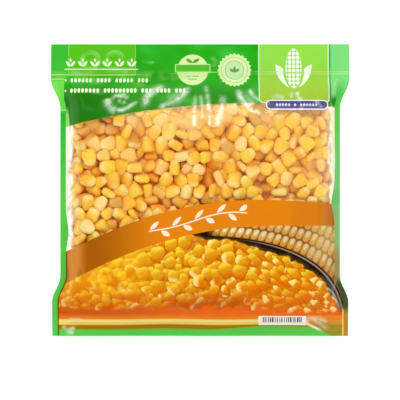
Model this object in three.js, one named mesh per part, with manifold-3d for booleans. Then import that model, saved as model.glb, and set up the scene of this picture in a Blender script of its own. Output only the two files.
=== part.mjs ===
// A bag of frozen sweetcorn, lying on its back with its printed front up.
// It is a flat film pouch, heat-sealed along all four edges and shut. The kernels fill it into a low
// slab, which draws the sides in and leaves the empty header and foot at the full width of the film.
// A clear window across the front shows the kernels, which stand out there one by one.
// Millimetres, X across the bag, Y towards its header, Z up. The origin is on the floor, mid-bag.

import * as THREE from "three";
import { mergeVertices } from "three/addons/utils/BufferGeometryUtils.js";
import Module from "manifold-3d";

// The film's outline, laid flat
const HEAD_WIDTH = 200;
const WAIST_WIDTH = 187;
const FOOT_WIDTH = 198.4;
const LENGTH = 195.6;
const TOP = LENGTH / 2;
const NECK = { waist: 55, head: 75 }; // where the sides flare out to the header
const HEEL = { waist: -57.5, foot: -75 }; // and to the foot

// The seals, and how far in from each the bag reaches its full thickness
const FILM = 0.8; // both films and the seal between them
const SIDE_SEAL = 4;
const HEADER_SEAL = 22;
const FOOT_SEAL = 9;
const SIDE_ROUND = 13;
const SHOULDER = 28;
const HEEL_ROUND = 22;

// Heights above the floor
const THICKNESS = 29;
const SEAM_Z = 9.5;
const HEADER_DROP = 5;
const FOOT_DROP = 4.5;
const CROWN = 2.2; // the middle stands this much above the slab's edges
const FLAT_BELOW = 1.35; // the underside reaches the floor this much sooner than the front its height
const SWELL = { height: 0.5, across: 17, along: 14, phase: 0.6 }; // the slab's low waves
const RIPPLE = { height: 0.7, length: 13 }; // and those of the empty header and foot

// The film puckers where its width is gathered in above and below the filled part
const PLEAT_DEPTH = 1.5;
const PLEAT_PITCH = 17;
const PLEAT_WANDER = { share: 1.7, length: 29 }; // how their pitch changes across the bag
const PLEAT_FADE = 25; // over this distance to the sides they run out

// The clear window, between the header's print and the band across the front
const WINDOW_SIDE = 88;
const WINDOW_TOP_ARC = { level: 57.8, middle: 38, bend: 0.00096 };
const WINDOW_FOOT_ARC = { level: -6.6, middle: 40, left: 0.00205, right: 0.0011 };
const CORE_BELOW_FILM = 2.4; // the kernels' bed lies this much below their tops
const WINDOW_STEP = 3.5;

// A kernel, and how the kernels lie: in staggered rows, each shaken out of its place and turned
const KERNEL = { length: 11, width: 9, thickness: 6.4 };
const KERNEL_SIDES = 6;
const KERNEL_RINGS = 4;
const KERNEL_BLUNT = 0.72; // under 1 swells a ball towards a block
const KERNEL_TAPER = 0.2;
const KERNEL_PITCH = 9.7;
const KERNEL_ROW = 8.4;
const KERNEL_SHAKE = 1.7;
const KERNEL_LEAN = 0.75;
const KERNEL_SIZES = [0.86, 1.08];
const KERNEL_PROUD = 0.3; // above the film's own height
const KERNEL_INSIDE = 0.75; // how far inside the window a kernel's middle is
const NORMAL_STEP = 0.5;
const SEED = 20;

const FRONT_GRID = { across: 26, along: 36 };
const BACK_GRID = { across: 16, along: 18 };
const CROWDING = 1.2;

const clamp01 = (t) => Math.min(1, Math.max(0, t));
const mix = (a, b, t) => a + (b - a) * t;
const ramp = (from, to, v) => {
  const t = clamp01((v - from) / (to - from));
  return t * t * (3 - 2 * t);
};

// A stream of numbers from 0 to 1 that is the same each time
function seededDraws(seed) {
  let state = seed;
  return () => {
    state = (state * 1664525 + 1013904223) % 4294967296;
    return state / 4294967296;
  };
}

// Half the bag's width at a height up the front
function halfWidth(y) {
  const head = ramp(NECK.waist, NECK.head, y);
  const foot = ramp(HEEL.waist, HEEL.foot, y);
  return (WAIST_WIDTH + head * (HEAD_WIDTH - WAIST_WIDTH) + foot * (FOOT_WIDTH - WAIST_WIDTH)) / 2;
}

// Height of the plane in which the two films meet
function seamHeight(x, y) {
  const header = ramp(NECK.waist, TOP, y);
  const foot = ramp(HEEL.waist, -TOP, y);
  const ripple = RIPPLE.height * Math.sin(x / RIPPLE.length + 1) * (header + foot);
  return SEAM_Z - HEADER_DROP * header - FOOT_DROP * foot + ripple;
}

// The way the film rises from a seal, from 0 on the seal to 1 at full thickness
const rise = (distance, reach) => Math.sin((clamp01(distance / reach) * Math.PI) / 2);

function fullness(x, y) {
  const side = rise(halfWidth(y) - SIDE_SEAL - Math.abs(x), SIDE_ROUND);
  const header = rise(TOP - HEADER_SEAL - y, SHOULDER);
  const foot = rise(y + TOP - FOOT_SEAL, HEEL_ROUND);
  return side * header * foot;
}

// Puckers run up and down the front, deepest halfway up each slope
function pleats(x, y) {
  const header = rise(TOP - HEADER_SEAL - y, SHOULDER);
  const foot = rise(y + TOP - FOOT_SEAL, HEEL_ROUND);
  const slope = 4 * (header * (1 - header) + foot * (1 - foot));
  const wander = PLEAT_WANDER.share * Math.sin(x / PLEAT_WANDER.length);
  const wave = Math.sin((x * 2 * Math.PI) / PLEAT_PITCH + wander);
  return PLEAT_DEPTH * slope * wave * ramp(0, PLEAT_FADE, halfWidth(y) - Math.abs(x));
}

function frontHeight(x, y) {
  const seam = seamHeight(x, y) + FILM / 2;
  const full = fullness(x, y);
  const middle = (1 - (x / halfWidth(y)) ** 2) * (1 - (y / TOP) ** 2);
  const wave = Math.sin(x / SWELL.across) * Math.cos(y / SWELL.along + SWELL.phase);
  const slab = THICKNESS - CROWN * (1 - middle) + SWELL.height * wave;
  return mix(seam, slab, full) + pleats(x, y);
}

function backHeight(x, y) {
  return seamHeight(x, y) * (1 - clamp01(fullness(x, y) * FLAT_BELOW));
}

// The window's edges: the header's print ends in an arc, and so does the band below
function windowTop(x) {
  const { level, middle, bend } = WINDOW_TOP_ARC;
  return level - bend * (x - middle) ** 2;
}

function windowFoot(x) {
  const { level, middle, left, right } = WINDOW_FOOT_ARC;
  return level - (x < middle ? left : right) * (x - middle) ** 2;
}

// How far inside the window a point is, from 0 at its edge to 1
function insideWindow(x, y) {
  const down = ramp(0, WINDOW_STEP, windowTop(x) - y);
  const up = ramp(0, WINDOW_STEP, y - windowFoot(x));
  const across = ramp(0, WINDOW_STEP, WINDOW_SIDE - Math.abs(x));
  return down * up * across;
}

let wasm;

// A closed geometry as a solid that can be joined
function solidOf(geometry) {
  const bare = geometry.clone();
  bare.deleteAttribute("normal");
  bare.deleteAttribute("uv");
  const merged = mergeVertices(bare, 1e-4);
  return new wasm.Manifold(
    new wasm.Mesh({
      numProp: 3,
      vertProperties: new Float32Array(merged.attributes.position.array),
      triVerts: new Uint32Array(merged.index.array),
    }),
  );
}

function geometryOf(solid) {
  const mesh = solid.getMesh();
  const geometry = new THREE.BufferGeometry();
  geometry.setAttribute("position", new THREE.BufferAttribute(mesh.vertProperties, 3));
  geometry.setIndex(new THREE.BufferAttribute(mesh.triVerts, 1));
  geometry.computeVertexNormals();
  return geometry;
}

// A block between two heights, as wide as the bag less a margin, from one height up the front to another
function slab(grid, margin, from, to, lower, upper) {
  const block = new THREE.BoxGeometry(2, to - from, 2, grid.across, grid.along, 1);
  const at = block.attributes.position;
  for (let i = 0; i < at.count; i++) {
    const y = at.getY(i) + (from + to) / 2;
    // Lines of the grid crowd towards the sides, where the film turns down
    const share = Math.sin(at.getX(i) * CROWDING) / Math.sin(CROWDING);
    const x = share * (halfWidth(y) - margin);
    at.setXYZ(i, x, y, at.getZ(i) > 0 ? upper(x, y) : lower(x, y));
  }
  return solidOf(block);
}

// The front film with its flat seals, down to the bed of the kernels where the window is
function frontOfPouch() {
  const lower = (x, y) => seamHeight(x, y) - FILM / 2;
  const upper = (x, y) => frontHeight(x, y) - CORE_BELOW_FILM * insideWindow(x, y);
  return slab(FRONT_GRID, 0, -TOP, TOP, lower, upper);
}

// What bulges below the seals, down to the floor
function backOfPouch() {
  const upper = (x, y) => seamHeight(x, y) + FILM / 4;
  return slab(BACK_GRID, SIDE_SEAL, -TOP + FOOT_SEAL, TOP - HEADER_SEAL, backHeight, upper);
}

// One kernel lying flat: a blunt wedge, broad at its crown and narrow at the tip that was on the cob
function kernel(size) {
  const body = new THREE.SphereGeometry(1, KERNEL_SIDES, KERNEL_RINGS);
  body.rotateX(Math.PI / 2);
  const at = body.attributes.position;
  const swell = (v) => Math.sign(v) * Math.abs(v) ** KERNEL_BLUNT;
  for (let i = 0; i < at.count; i++) {
    const along = swell(at.getY(i));
    const taper = 1 + KERNEL_TAPER * along;
    at.setXYZ(
      i,
      (swell(at.getX(i)) * taper * KERNEL.width) / 2,
      (along * KERNEL.length) / 2,
      (at.getZ(i) * taper * KERNEL.thickness) / 2,
    );
  }
  return body.scale(size, size, size);
}

// Places for kernels all over the window
function kernelPlaces(draw) {
  const places = [];
  const lowest = windowFoot(-WINDOW_SIDE);
  const rows = Math.ceil((TOP - lowest) / KERNEL_ROW);
  const columns = Math.ceil(WINDOW_SIDE / KERNEL_PITCH);
  for (let row = 0; row < rows; row++) {
    for (let column = -columns; column <= columns; column++) {
      const x = (column + (row % 2) / 2) * KERNEL_PITCH + (2 * draw() - 1) * KERNEL_SHAKE;
      const y = lowest + row * KERNEL_ROW + (2 * draw() - 1) * KERNEL_SHAKE;
      if (insideWindow(x, y) > KERNEL_INSIDE) places.push({ x, y });
    }
  }
  return places;
}

// The film's outward direction, which each kernel under it lies square to
function filmNormal(x, y) {
  const step = NORMAL_STEP;
  const acrossSlope = (frontHeight(x + step, y) - frontHeight(x - step, y)) / (2 * step);
  const alongSlope = (frontHeight(x, y + step) - frontHeight(x, y - step)) / (2 * step);
  return new THREE.Vector3(-acrossSlope, -alongSlope, 1).normalize();
}

function kernels() {
  const draw = seededDraws(SEED);
  const up = new THREE.Vector3(0, 0, 1);
  return kernelPlaces(draw).map(({ x, y }) => {
    const body = kernel(mix(...KERNEL_SIZES, draw()));
    body.rotateY((2 * draw() - 1) * KERNEL_LEAN);
    body.rotateX((draw() - 0.5) * KERNEL_LEAN);
    body.rotateZ(draw() * 2 * Math.PI);
    body.computeBoundingBox();
    const normal = filmNormal(x, y);
    const depth = body.boundingBox.max.z - KERNEL_PROUD;
    body.applyQuaternion(new THREE.Quaternion().setFromUnitVectors(up, normal));
    const middle = new THREE.Vector3(x, y, frontHeight(x, y)).addScaledVector(normal, -depth);
    return body.translate(middle.x, middle.y, middle.z);
  });
}

wasm = await Module();
wasm.setup();

let bag = frontOfPouch().add(backOfPouch());
for (const body of kernels()) bag = bag.add(solidOf(body));
// The joined surface's largest shell is the bag, and dropping the rest fills what kernels seal between them
bag = bag.decompose().sort((a, b) => b.volume() - a.volume())[0];

const bagMesh = new THREE.Mesh(
  geometryOf(bag),
  new THREE.MeshStandardMaterial({ color: 0xf0b23c, roughness: 0.3, metalness: 0 }),
);
bagMesh.name = "bag";

const root = new THREE.Group();
root.add(bagMesh);

export default root;
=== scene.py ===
"""A bag of frozen sweetcorn, lying on its back with its printed front up.

The film is one pouch, printed all over but for a clear window across its front. Whole kernels lie
under the window in three layers, over a bed that closes the gaps between them. Everything is in
metres, with X across the bag, Y towards its header and Z up from the floor.
"""

import math

import bmesh
import bpy
import numpy as np
from mathutils import Euler, Matrix, Vector, noise


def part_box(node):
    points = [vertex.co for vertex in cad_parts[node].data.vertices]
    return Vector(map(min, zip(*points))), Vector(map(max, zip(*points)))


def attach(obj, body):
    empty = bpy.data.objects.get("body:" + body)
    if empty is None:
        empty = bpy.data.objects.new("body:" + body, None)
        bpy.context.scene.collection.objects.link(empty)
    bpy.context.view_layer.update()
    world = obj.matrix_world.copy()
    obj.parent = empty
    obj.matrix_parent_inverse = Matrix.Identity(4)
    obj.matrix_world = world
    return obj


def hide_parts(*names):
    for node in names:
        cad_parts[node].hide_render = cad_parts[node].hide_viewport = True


bl_info = {
    "name": "Frozen Sweetcorn Bag",
    "version": (1, 0, 0),
    "blender": (4, 5, 0),
    "location": "View3D > Sidebar > Corn Bag",
    "description": "Builds a flat film bag of frozen sweetcorn with a clear window",
    "category": "Add Mesh",
}

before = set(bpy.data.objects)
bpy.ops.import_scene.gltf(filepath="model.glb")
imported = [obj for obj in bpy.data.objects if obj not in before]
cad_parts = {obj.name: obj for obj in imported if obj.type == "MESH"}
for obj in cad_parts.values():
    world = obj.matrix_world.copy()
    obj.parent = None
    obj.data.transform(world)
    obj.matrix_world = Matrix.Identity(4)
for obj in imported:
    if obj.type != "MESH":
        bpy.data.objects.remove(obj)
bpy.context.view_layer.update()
BAG_LOW, BAG_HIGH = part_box("bag")

MM = 0.001

# The film's outline, laid flat
HEAD_WIDTH = BAG_HIGH.x - BAG_LOW.x
WAIST_WIDTH = 0.935 * HEAD_WIDTH
FOOT_WIDTH = 0.992 * HEAD_WIDTH
LENGTH = BAG_HIGH.y - BAG_LOW.y
TOP = LENGTH / 2
NECK = (55 * MM, 75 * MM)
HEEL = (-57.5 * MM, -75 * MM)

# The seals, and how far in from each the bag reaches its full thickness
FILM = 0.8 * MM
SIDE_SEAL = 4 * MM
HEADER_SEAL = 22 * MM
FOOT_SEAL = 9 * MM
SIDE_ROUND = 13 * MM
SHOULDER = 28 * MM
HEEL_ROUND = 22 * MM

# Heights above the floor, and how far the crown's sides and the seams at the ends drop from them
CROWN = 2.2 * MM
SWELL = 0.5 * MM
THICKNESS = BAG_HIGH.z - SWELL
SEAM_Z = 9.5 * MM
HEADER_DROP = 5 * MM
FOOT_DROP = 4.5 * MM
# How much sooner the back comes down to the floor than the front comes up to its full height
FLAT_BELOW = 1.35

# The window: its arcs at the header and at the band, and how far the film clears the kernels
WINDOW_TOP = 57.8 * MM
WINDOW_FOOT = -6.6 * MM
FILM_CLEARANCE = 0.5 * MM

# Its arcs: where the middle of each lies across the bag, and how sharply it bends. The one at the band
# bends more at the left of its middle than at the right.
WINDOW_TOP_MIDDLE = 38 * MM
WINDOW_TOP_BEND = 0.96
WINDOW_FOOT_MIDDLE = 40 * MM
WINDOW_FOOT_BENDS = (2.05, 1.1)

# The film's grid: rows below, in and above the window, and columns, with those in each side strip.
# The columns between the strips lie closer towards the sides, the more so the higher the crowding is.
ROWS = {"foot": 84, "window": 72, "head": 62}
ALL_ROWS = sum(ROWS.values())
COLUMNS = 194
STRIP_COLUMNS = 4
INNER_SHARE = 1 - 2 * STRIP_COLUMNS / COLUMNS
CROWDING = 1.0

# The side seals' print, and where it is crumpled wider: the side, the height up the front, its reach
# and how much wider
STRIP = 3.6 * MM
CRUMPLES = [(-1, -28 * MM, 9 * MM, 1.9 * MM), (1, -8 * MM, 8 * MM, 2.2 * MM)]

# Waves of the film: their heights and lengths, and the margins at the sides that they fade over
RIPPLE = 0.7 * MM
RIPPLE_LENGTH = 13 * MM
PLEAT_DEPTH = 1.5 * MM
PLEAT_PITCH = 17 * MM
PLEAT_DRIFT = (1.7, 29 * MM)
PLEAT_MARGIN = 25 * MM
SWELL_LENGTHS = (17 * MM, 14 * MM)
SLACK_MARGIN = (9 * MM, 24 * MM)
CRINKLE_SIZES = (11 * MM, 6.5 * MM, 3.2 * MM)
# How far away in the noise the back's crinkles are taken, so that they aren't the front's
BACK_APART = 50 * MM

# Sharp folds of the slack film, chosen one by one from the front: the points that each runs through, how
# wide and high it is in mm, and how strong the painted highlight along it is
FOLDS = [
    ([(-61.7, 62), (-61, 57), (-58.4, 53.4), (-55, 52)], 2.4, 0.6, 0.75),
    ([(-58, 53), (-51, 53), (-45.6, 56.2), (-40, 59.4)], 1.3, 0.6, 0.7),
    ([(-60, 60), (-56, 62.6), (-50, 62.6), (-47, 60.4)], 1.3, 0.6, 0.8),
    ([(-55, 60), (-52, 57.6), (-48.6, 58.6)], 1.4, 0.5, 0.5),
    ([(-21, 71), (-29, 67.2), (-33.7, 63.9), (-36, 60), (-38.3, 52)], 2.4, 0.8, 0.75),
    ([(-6, 70), (-10.6, 63.9), (-16.2, 59.6), (-23.2, 56.2), (-29, 53.6)], 2.0, 0.8, 0.7),
    ([(-9, 66), (-15, 61), (-22, 57)], 4.4, 0.4, 0.45),
    ([(-2.8, 65), (-3.9, 54), (-3.6, 38)], 1.6, 0.5, 0.6),
    ([(0, 65), (1.4, 54), (1.4, 45)], 1.2, 0.5, 0.55),
    ([(2.8, 71), (4.6, 65), (5.9, 52), (6.3, 38)], 1.5, 0.55, 0.65),
    ([(15.4, 65), (14.7, 57.6), (12.2, 47), (11, 40)], 2.4, 0.6, 0.65),
    ([(24, 69), (27.5, 60), (34, 53), (43, 49)], 2.0, 0.8, 0.75),
    ([(32.4, 68), (35, 62.6), (39.6, 58.6)], 1.3, 0.7, 0.7),
    ([(20, 57), (26, 53), (32, 49)], 2.6, 0.6, 0.5),
    ([(28, 67), (32, 60), (36, 55)], 3.8, 0.3, 0.4),
    ([(-10, 47), (-19, 42), (-20, 32)], 2.4, 0.4, 0.4),
    ([(-26, 44), (-31, 40), (-28, 34)], 1.4, 0.5, 0.4),
    ([(60.6, 66), (61, 60.5)], 1.3, 0.6, 0.6),
    ([(64.2, 66), (65, 62), (67.6, 58.8)], 1.3, 0.7, 0.75),
    ([(46.7, 60.4), (51, 62.6), (57, 61)], 1.6, 0.6, 0.5),
    ([(93, 76), (90, 71), (88.6, 62)], 1.3, 0.7, 0.3),
    ([(44.4, 60), (45, 56)], 1.2, 0.3, 0.6),
    ([(76, 60), (79, 57), (81, 54)], 1.2, 0.3, 0.5),
    ([(6.5, 90), (10.5, 86), (8, 82)], 1.5, 0.3, 0.35),
    ([(-41, 86.6), (-33, 85.4), (-30, 86)], 0.8, 0.3, 0.4),
    ([(-88, 79.4), (-80, 77.8), (-70, 79)], 1.4, 0.3, 0.35),
    ([(-66, 79), (-56, 80.6), (-46, 78.4)], 1.2, 0.3, 0.3),
    ([(36, -13.5), (48, -15), (57, -12.5)], 1.3, 0.35, 0.0),
    ([(57, -8), (60, -13), (62, -19)], 1.3, 0.35, 0.0),
    ([(-36, -17), (-26, -13), (-14, -11.5)], 1.4, 0.3, 0.0),
    ([(87, 59), (88.6, 53), (88.2, 36), (89.2, 20), (88.4, 4), (87.2, -8)], 1.0, 0.6, 1.0),
    ([(-76, -20), (-73, -34), (-77, -48)], 2.2, 0.9, 0.0),
    ([(-68, -24), (-70, -44)], 1.8, 0.8, 0.0),
    ([(-60, -22), (-62, -34)], 1.6, 0.7, 0.1),
    ([(80, -62), (88, -68), (92, -76), (95, -84)], 0.8, 0.9, 0.5),
    ([(92, -58), (88, -68)], 0.7, 0.6, 0.4),
    ([(67, -84), (76, -86.4), (82, -91), (88, -94)], 1.3, 0.8, 0.6),
    ([(72, -85), (80, -86), (86, -89)], 1.3, 0.5, 0.6),
    ([(-93, -91), (-89, -94), (-83, -92)], 1.4, 0.6, 0.6),
    ([(-91, -95), (-84, -96)], 1.2, 0.5, 0.6),
    ([(-90, -86), (-76, -87)], 0.9, 0.4, 0.5),
]

SEED = 20


def shade(code):
    """A web colour, such as #2fbf2f, as the linear red, green and blue that a shader takes."""
    channels = [int(code[i : i + 2], 16) / 255 for i in (1, 3, 5)]
    return tuple(c / 12.92 if c <= 0.04045 else ((c + 0.055) / 1.055) ** 2.4 for c in channels)


def colour_setting(name, description, code):
    return bpy.props.FloatVectorProperty(
        name=name, description=description, subtype="COLOR", size=3, min=0, max=1, default=shade(code)
    )


def length_setting(name, description, default):
    return bpy.props.FloatProperty(
        name=name, description=description, unit="LENGTH", subtype="DISTANCE", min=0, default=default
    )


class CornBagColours(bpy.types.PropertyGroup):
    """Colours of the print, the seals and the kernels."""

    header: colour_setting("Header", "Green of the flat header", "#2bb01c")
    # The shoulder's darker green is painted shade where the header slopes down to the window; the back
    # takes it in soft patches too
    shoulder: colour_setting("Shoulder", "Darker green where the header slopes to the window", "#2f8f18")
    seal: colour_setting("Seal", "Green of the side and foot seals", "#5ccc4e")
    panel: colour_setting("Panel", "Lime panel at the right of the header", "#96e04c")
    pill: colour_setting("Pill", "Violet pill under the lime panel", "#554c7c")
    badge: colour_setting("Badge", "Pale discs on the header", "#dcf4ae")
    band: colour_setting("Band", "Orange band under the window", "#e38312")
    heap: colour_setting("Heap", "Ochre of the pictured kernels", "#e29e14")
    heap_deep: colour_setting("Heap shade", "Orange of the pictured kernels", "#e07204")
    pan: colour_setting("Pan", "Dark of the pictured pan", "#260e02")
    cob: colour_setting("Cob", "Ochre of the pictured cob", "#dcb868")
    kernel: colour_setting("Kernel", "Golden yellow of most kernels", "#fdd044")
    kernel_deep: colour_setting("Kernel shade", "Amber of the deeper coloured kernels", "#fabe34")
    kernel_pale: colour_setting("Kernel tip", "Pale yellow of tips and frosted kernels", "#fee59c")


class CornBagSizes(bpy.types.PropertyGroup):
    """Sizes that change how the film and the kernels look."""

    kernel_length: length_setting("Kernel length", "From crown to tip", 11 * MM)
    kernel_width: length_setting("Kernel width", "Across the crown", 9.2 * MM)
    kernel_thickness: length_setting("Kernel thickness", "Through the flat sides", 6.2 * MM)
    kernel_pitch: length_setting("Kernel pitch", "From one kernel to the next in a row", 9.3 * MM)
    crinkle: length_setting("Crinkle", "Height of the film's fine crinkles", 0.5 * MM)
    drape: length_setting("Drape", "How much the film follows the kernels", 0.45 * MM)


class CornBagSettings(bpy.types.PropertyGroup):
    """Everything that a user would change on the bag."""

    sizes: bpy.props.PointerProperty(name="Sizes", description="Film and kernels", type=CornBagSizes)
    colours: bpy.props.PointerProperty(name="Colours", description="Print and kernels", type=CornBagColours)


def settings():
    return bpy.context.scene.corn_bag


# The bag's form: heights over the floor by place, for arrays of x and y


def ramp(low, high, value):
    share = np.clip((value - low) / (high - low), 0, 1)
    return share * share * (3 - 2 * share)


def rise(distance, reach):
    """From 0 on a seal to 1 at full thickness, steep first and then level."""
    return np.sin(np.clip(distance / reach, 0, 1) * np.pi / 2)


def half_width(y):
    head = ramp(*NECK, y) * (HEAD_WIDTH - WAIST_WIDTH)
    foot = ramp(*HEEL, y) * (FOOT_WIDTH - WAIST_WIDTH)
    return (WAIST_WIDTH + head + foot) / 2


def seam_height(x, y):
    head = ramp(NECK[0], TOP, y)
    foot = ramp(HEEL[0], -TOP, y)
    ripple = RIPPLE * np.sin(x / RIPPLE_LENGTH + 1) * (head + foot)
    return SEAM_Z - HEADER_DROP * head - FOOT_DROP * foot + ripple


def slopes(y):
    """How far the film has risen from the header's seal and from the foot's."""
    return rise(TOP - HEADER_SEAL - y, SHOULDER), rise(y + TOP - FOOT_SEAL, HEEL_ROUND)


def fullness(x, y):
    head, foot = slopes(y)
    return rise(half_width(y) - SIDE_SEAL - np.abs(x), SIDE_ROUND) * head * foot


def pleats(x, y):
    head, foot = slopes(y)
    shift = PLEAT_DRIFT[0] * np.sin(x / PLEAT_DRIFT[1])
    wave = np.sin(2 * np.pi * x / PLEAT_PITCH + shift)
    inner = ramp(0, PLEAT_MARGIN, half_width(y) - np.abs(x))
    return PLEAT_DEPTH * 4 * (head * (1 - head) + foot * (1 - foot)) * wave * inner


def front_height(x, y):
    middle = (1 - (x / half_width(y)) ** 2) * (1 - (y / TOP) ** 2)
    swell = SWELL * np.sin(x / SWELL_LENGTHS[0]) * np.cos(y / SWELL_LENGTHS[1] + 0.6)
    slab = THICKNESS - CROWN * (1 - middle) + swell
    full = fullness(x, y)
    return (seam_height(x, y) + FILM / 2) * (1 - full) + slab * full + pleats(x, y)


def back_height(x, y):
    return seam_height(x, y) * (1 - np.clip(fullness(x, y) * FLAT_BELOW, 0, 1))


def window_top(x):
    return WINDOW_TOP - WINDOW_TOP_BEND * (x - WINDOW_TOP_MIDDLE) ** 2


def window_foot(x):
    bend = np.where(x < WINDOW_FOOT_MIDDLE, *WINDOW_FOOT_BENDS)
    return WINDOW_FOOT - bend * (x - WINDOW_FOOT_MIDDLE) ** 2


def noise_at(points, size):
    """Perlin noise from about -1 to 1 at each point, with features of the given size."""
    return np.array([noise.noise(Vector(point) / size) for point in points])


def distance_to(x, y, points):
    """How far each place is from the line through the points, and which share along it is nearest."""
    nearest = np.full_like(x, np.inf)
    share = np.zeros_like(x)
    for index, (start, end) in enumerate(zip(points, points[1:])):
        run, climb = end[0] - start[0], end[1] - start[1]
        along = np.clip(((x - start[0]) * run + (y - start[1]) * climb) / (run**2 + climb**2), 0, 1)
        far = np.hypot(x - start[0] - along * run, y - start[1] - along * climb)
        share = np.where(far < nearest, (index + along) / (len(points) - 1), share)
        nearest = np.minimum(nearest, far)
    return nearest, share


def folds(x, y):
    """The folds' heights, each with a sharp crest that fades at its ends, and how strong the painted
    highlight
    is at each place: most on the crests, unevenly along them, with a soft halo."""
    height = np.zeros_like(x)
    white = np.zeros_like(x)
    for points, width, high, glint_strength in FOLDS:
        far, share = distance_to(x / MM, y / MM, points)
        ends = ramp(0, 0.2, share) * ramp(1, 0.8, share) + 0.15
        ends *= 0.85 + 0.2 * np.sin(7 * share + points[0][0])
        crest = np.exp(-far / (0.6 * width)) * ends
        height += high * MM * crest
        pale_veil = 0.72 * np.exp(-((far / width) ** 2)) + 0.28 * np.exp(-((far / (2.6 * width)) ** 2))
        white = np.maximum(white, glint_strength * pale_veil * np.clip(ends, 0, 1))
    return height, white


def crinkles(x, y, z):
    """Fine wrinkles where the film is slack, on the slopes at the header, the foot and the sides, and its
    low waves over the kernels."""
    sizes = settings().sizes
    head, foot = slopes(y)
    side = 1 - ramp(*SLACK_MARGIN, half_width(y) - SIDE_SEAL - np.abs(x))
    slack = np.clip(4 * (head * (1 - head) + foot * (1 - foot)) + 0.5 * side, 0, 1)
    points = np.column_stack([x, y * 0.7, z])
    broad = noise_at(points, CRINKLE_SIZES[0])
    ridged = 1 - 2 * np.abs(noise_at(points + 0.3, CRINKLE_SIZES[1]))
    fine = noise_at(points + 0.7, CRINKLE_SIZES[2])
    level = sizes.drape * (0.7 * broad + 0.3 * fine) * fullness(x, y)
    return level + sizes.crinkle * slack * (0.8 * broad + 0.6 * ridged + 0.25 * fine)


def strip_width(x, y):
    """Width of the side seal's print at each place on one side of the bag or the other."""
    extra = 0
    for side, at, reach, more in CRUMPLES:
        extra = extra + np.where(x * side > 0, np.exp(-(((y - at) / reach) ** 2)) * more, 0)
    return STRIP + extra


def spread(u, v):
    """The place on the flat film of each point of a grid from -1 to 1, whose lines follow the print."""
    within = np.clip(u / INNER_SHARE, -1, 1)
    crowded = np.sin(within * CROWDING) / math.sin(CROWDING)
    beyond = np.sign(u) * np.clip((np.abs(u) - INNER_SHARE) / (1 - INNER_SHARE), 0, 1)
    guide = crowded * (WAIST_WIDTH / 2 - STRIP)
    row = (v + 1) / 2 * ALL_ROWS
    knots = [0, ROWS["foot"], ROWS["foot"] + ROWS["window"], ALL_ROWS]
    heights = [np.full_like(u, -TOP), window_foot(guide), window_top(guide), np.full_like(u, TOP)]
    y = np.zeros_like(u)
    for first, last, low, high in zip(knots, knots[1:], heights, heights[1:]):
        share = np.clip((row - first) / (last - first), 0, 1)
        y += np.where((row >= first) & (row <= last + 1e-6), low + share * (high - low) - y, 0)
    strip = strip_width(u, y)
    x = crowded * (half_width(y) - strip) + beyond * strip
    return x, y


HEADER_SLOT, WINDOW_SLOT, BACK_SLOT, LOWER_SLOT = range(4)


def film_slot(face):
    """The material slot that a face of the flat grid takes."""
    centre = face.calc_center_median()
    row = (centre.y + 1) / 2 * ALL_ROWS
    if centre.z < 0.25:
        return BACK_SLOT
    if row > ROWS["foot"] + ROWS["window"]:
        return HEADER_SLOT
    if row > ROWS["foot"] and centre.z > 0.5 and abs(centre.x) < INNER_SHARE:
        return WINDOW_SLOT
    return LOWER_SLOT


def double_grid(columns, rows):
    """A grid from -1 to 1, closed by a copy of it at a height of 1."""
    bm = bmesh.new()
    bmesh.ops.create_grid(bm, x_segments=columns, y_segments=rows, size=1)
    copied = bmesh.ops.extrude_face_region(bm, geom=list(bm.faces))["geom"]
    upper = [item for item in copied if isinstance(item, bmesh.types.BMVert)]
    bmesh.ops.translate(bm, verts=upper, vec=(0, 0, 1))
    for face in bm.faces:
        face.smooth = True
    return bm


def pouch():
    """The whole film as a closed shell, each face in its material slot."""
    shell = double_grid(COLUMNS, ALL_ROWS)
    for face in shell.faces:
        face.material_index = film_slot(face)
    # Each vertex keeps the strength of the painted highlight along the folds
    painted_glint = shell.verts.layers.float.new("painted_glint")
    flat = np.array([vert.co for vert in shell.verts])
    x, y = spread(flat[:, 0], flat[:, 1])
    seam = seam_height(x, y)
    outer = fullness(x, y)
    up = flat[:, 2] > 0.5
    wrinkled = crinkles(x, y, np.where(up, 0, BACK_APART))
    top = front_height(x, y) + FILM_CLEARANCE * outer + wrinkled
    folded, white = folds(x, y)
    top += folded * np.clip(outer * 4, 0.3, 1)
    under = np.minimum(back_height(x, y) + 0.6 * wrinkled * (1 - outer), seam)
    z = np.where(up, np.maximum(top, seam + FILM / 3), np.maximum(under, 0))
    for vert, glint_strength, *place in zip(shell.verts, white * up, x, y, z):
        vert[painted_glint] = glint_strength
        vert.co = place
    bmesh.ops.recalc_face_normals(shell, faces=list(shell.faces))
    return shell


def keep_slots(shell, slots):
    """Leaves only the faces in the given material slots, and counts the slots from 0."""
    others = [face for face in shell.faces if face.material_index not in slots]
    bmesh.ops.delete(shell, geom=others, context="FACES")
    for face in shell.faces:
        face.material_index = slots.index(face.material_index)


def finish_piece(bm, name, materials):
    """Makes the bag's piece from a bmesh, with its materials and its ride."""
    mesh = bpy.data.meshes.new(name)
    bm.to_mesh(mesh)
    bm.free()
    piece = bpy.data.objects.new(name, mesh)
    bpy.context.scene.collection.objects.link(piece)
    for material in materials:
        mesh.materials.append(material)
    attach(piece, "root")
    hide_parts("bag")
    return piece


# Materials: a surface's numbers as fields, so that a pattern reads as a formula


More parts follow.
